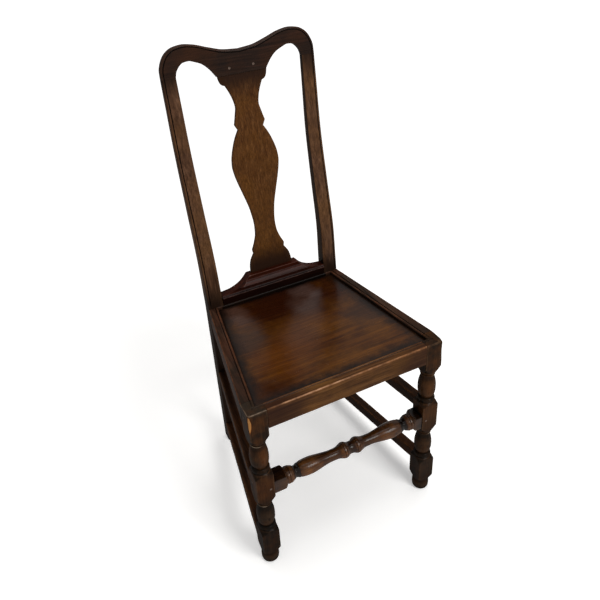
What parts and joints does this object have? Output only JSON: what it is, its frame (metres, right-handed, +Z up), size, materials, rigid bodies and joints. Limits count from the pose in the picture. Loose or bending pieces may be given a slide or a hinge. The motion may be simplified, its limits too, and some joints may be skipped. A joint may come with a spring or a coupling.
{
  "type": "wooden side chair",
  "caption": "Wooden side chair: yoke-shaped crest, vase splat on a moulded shoe, recessed board seat, turned front legs and front stretcher, plain side stretchers.",
  "frame": {"origin": "centre of the plan's bounding box, on the floor under the feet", "axes": "+Z up, the chair faces -Y, +X to the right of someone who looks at its front"},
  "size_m": [0.45, 0.4892, 1.0507],
  "materials": {
    "oak_crest": "dark waxed, worn satin",
    "oak_board": "polished by use, glossy",
    "oak_splat": "waxed satin",
    "oak_shoe": "dark waxed satin",
    "oak_front_rail": "waxed, worn pale at the edge",
    "oak_turned": "waxed, turned",
    "oak_frame": "waxed satin",
    "oak_peg": "dark end grain"
  },
  "bodies": {
    "root": {"crest_rail": "oak_crest", "seat_board": "oak_board", "splat": "oak_splat", "splat_shoe": "oak_shoe", "front_seat_rail": "oak_front_rail", "front_stretcher": "oak_turned", "left_front_leg": "oak_turned", "right_front_leg": "oak_turned", "left_rear_post": "oak_frame", "right_rear_post": "oak_frame", "left_seat_rail": "oak_frame", "right_seat_rail": "oak_frame", "rear_seat_rail": "oak_frame", "rear_stretcher": "oak_frame", "left_lower_stretcher": "oak_frame", "right_lower_stretcher": "oak_frame", "left_upper_stretcher": "oak_frame", "right_upper_stretcher": "oak_frame", "left_front_stretcher_peg": "oak_peg", "left_seat_rail_peg": "oak_peg", "left_side_stretcher_peg": "oak_peg", "left_splat_peg": "oak_peg", "right_front_stretcher_peg": "oak_peg", "right_seat_rail_peg": "oak_peg", "right_side_stretcher_peg": "oak_peg", "right_splat_peg": "oak_peg"}
  },
  "joints": []
}
